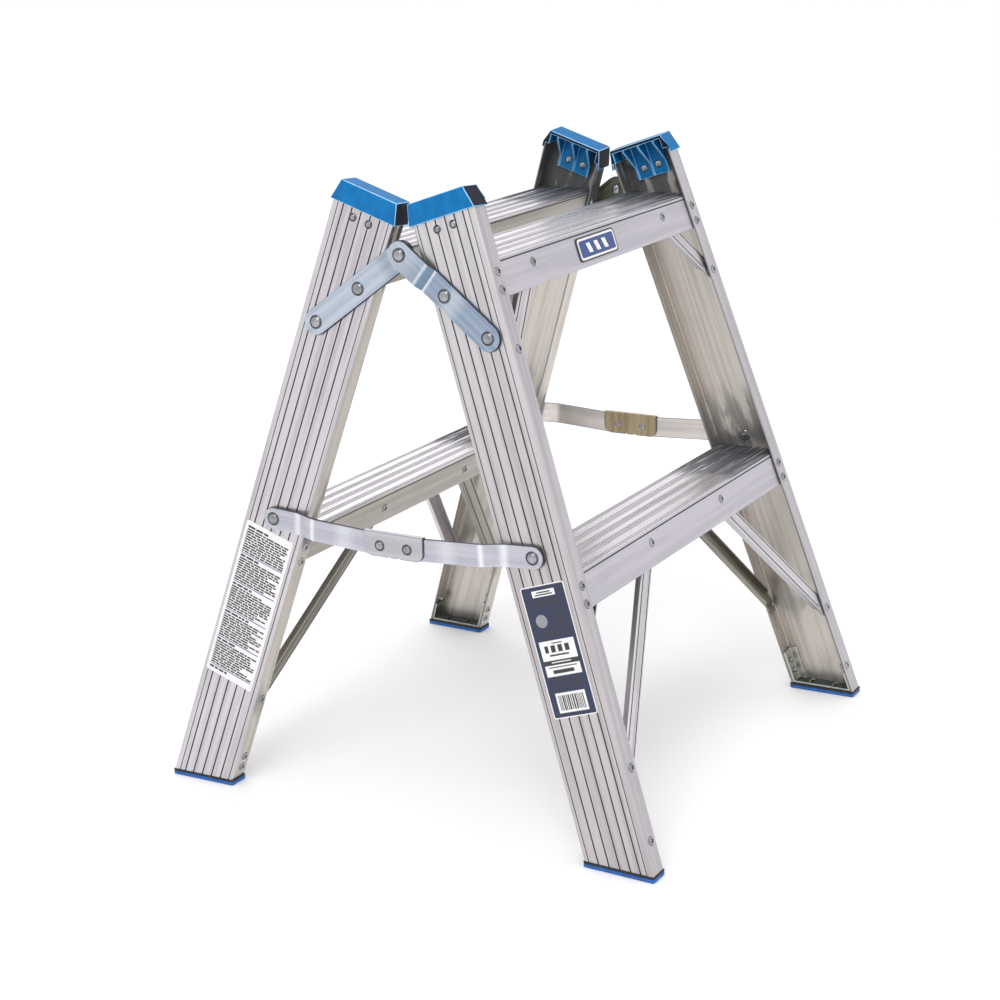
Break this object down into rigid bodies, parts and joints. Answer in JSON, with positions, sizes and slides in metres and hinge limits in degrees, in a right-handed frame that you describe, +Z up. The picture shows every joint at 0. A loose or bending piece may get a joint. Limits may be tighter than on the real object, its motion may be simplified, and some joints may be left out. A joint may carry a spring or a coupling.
{
  "type": "folding sawhorse",
  "caption": "Aluminium folding step sawhorse: ladder frames hinged at the top, folding side spreaders, ridged treads, knee braces and padded feet.",
  "frame": {"origin": "on the floor under the middle of the sawhorse", "axes": "+X along the treads, +Y the way frame A leans out, +Z up"},
  "size_m": [0.5566, 0.5822, 0.6534],
  "materials": {
    "rail": "mill finish with extrusion lines",
    "tread": "mill finish, ribs worn bright",
    "brace": "mill finish",
    "shoe": "dull",
    "bar": "satin",
    "link": "yellow zinc plated",
    "zinc": "zinc plated",
    "rivet": "bright",
    "cap": "moulded, fine grain",
    "pad": "moulded rubber"
  },
  "bodies": {
    "frame_a": {"a_right_rail": "rail", "a_right_cap": "cap", "a_right_shoe": "shoe", "a_right_hinge_arm": "zinc", "a_right_arm_rivet_1": "rivet", "a_right_arm_rivet_2": "rivet", "a_right_top_brace": "brace", "a_right_outer_brace": "brace", "a_right_inner_brace": "brace", "a_right_pad": "pad", "a_left_rail": "rail", "a_left_cap": "cap", "a_left_shoe": "shoe", "a_left_hinge_arm": "zinc", "a_left_arm_rivet_1": "rivet", "a_left_arm_rivet_2": "rivet", "a_left_top_brace": "brace", "a_left_outer_brace": "brace", "a_left_inner_brace": "brace", "a_left_pad": "pad", "a_top_tread": "tread", "a_low_tread": "tread", "right_hinge_pivot": "rivet", "a_right_spreader_rivet": "rivet", "left_hinge_pivot": "rivet", "a_left_spreader_rivet": "rivet"},
    "frame_b": {"b_right_rail": "rail", "b_right_cap": "cap", "b_right_shoe": "shoe", "b_right_hinge_arm": "zinc", "b_right_arm_rivet_1": "rivet", "b_right_arm_rivet_2": "rivet", "b_right_top_brace": "brace", "b_right_outer_brace": "brace", "b_right_inner_brace": "brace", "b_right_pad": "pad", "b_left_rail": "rail", "b_left_cap": "cap", "b_left_shoe": "shoe", "b_left_hinge_arm": "zinc", "b_left_arm_rivet_1": "rivet", "b_left_arm_rivet_2": "rivet", "b_left_top_brace": "brace", "b_left_outer_brace": "brace", "b_left_inner_brace": "brace", "b_left_pad": "pad", "b_top_tread": "tread", "b_low_tread": "tread"},
    "bar_a_right": {"a_right_spreader_bar": "bar"},
    "link_right": {"right_link": "link", "right_link_rivet_a": "rivet", "right_link_rivet_b": "rivet"},
    "bar_b_right": {"b_right_spreader_bar": "bar", "b_right_spreader_rivet": "rivet"},
    "bar_a_left": {"a_left_spreader_bar": "bar"},
    "link_left": {"left_link": "link", "left_link_rivet_a": "rivet", "left_link_rivet_b": "rivet"},
    "bar_b_left": {"b_left_spreader_bar": "bar", "b_left_spreader_rivet": "rivet"}
  },
  "joints": [
    {"name": "fold", "type": "hinge", "parent": "frame_a", "child": "frame_b", "pos_m": [0, 0, 0.584], "axis": [1, 0, 0], "range_deg": [0, 37]},
    {"name": "spread_a_right", "type": "hinge", "parent": "frame_a", "child": "bar_a_right", "pos_m": [0.26196, 0.15227, 0.30384], "axis": [1, 0, 0], "range_deg": [-57.88, 0]},
    {"name": "spread_link_right", "type": "hinge", "parent": "bar_a_right", "child": "link_right", "pos_m": [0.26196, 0.016, 0.29634], "axis": [1, 0, 0], "range_deg": [0, 76.38]},
    {"name": "spread_b_right", "type": "hinge", "parent": "link_right", "child": "bar_b_right", "pos_m": [0.26196, -0.016, 0.29634], "axis": [1, 0, 0], "range_deg": [0, 76.38]},
    {"name": "spread_a_left", "type": "hinge", "parent": "frame_a", "child": "bar_a_left", "pos_m": [-0.26196, 0.15227, 0.30384], "axis": [1, 0, 0], "range_deg": [-57.88, 0]},
    {"name": "spread_link_left", "type": "hinge", "parent": "bar_a_left", "child": "link_left", "pos_m": [-0.26196, 0.016, 0.29634], "axis": [1, 0, 0], "range_deg": [0, 76.38]},
    {"name": "spread_b_left", "type": "hinge", "parent": "link_left", "child": "bar_b_left", "pos_m": [-0.26196, -0.016, 0.29634], "axis": [1, 0, 0], "range_deg": [0, 76.38]}
  ],
  "couplings": [
    {"joint": "spread_a_right", "follows": "fold", "ratio": -1.5629},
    {"joint": "spread_link_right", "follows": "fold", "ratio": 2.0629},
    {"joint": "spread_b_right", "follows": "fold", "ratio": 2.0629},
    {"joint": "spread_a_left", "follows": "fold", "ratio": -1.5629},
    {"joint": "spread_link_left", "follows": "fold", "ratio": 2.0629},
    {"joint": "spread_b_left", "follows": "fold", "ratio": 2.0629}
  ]
}
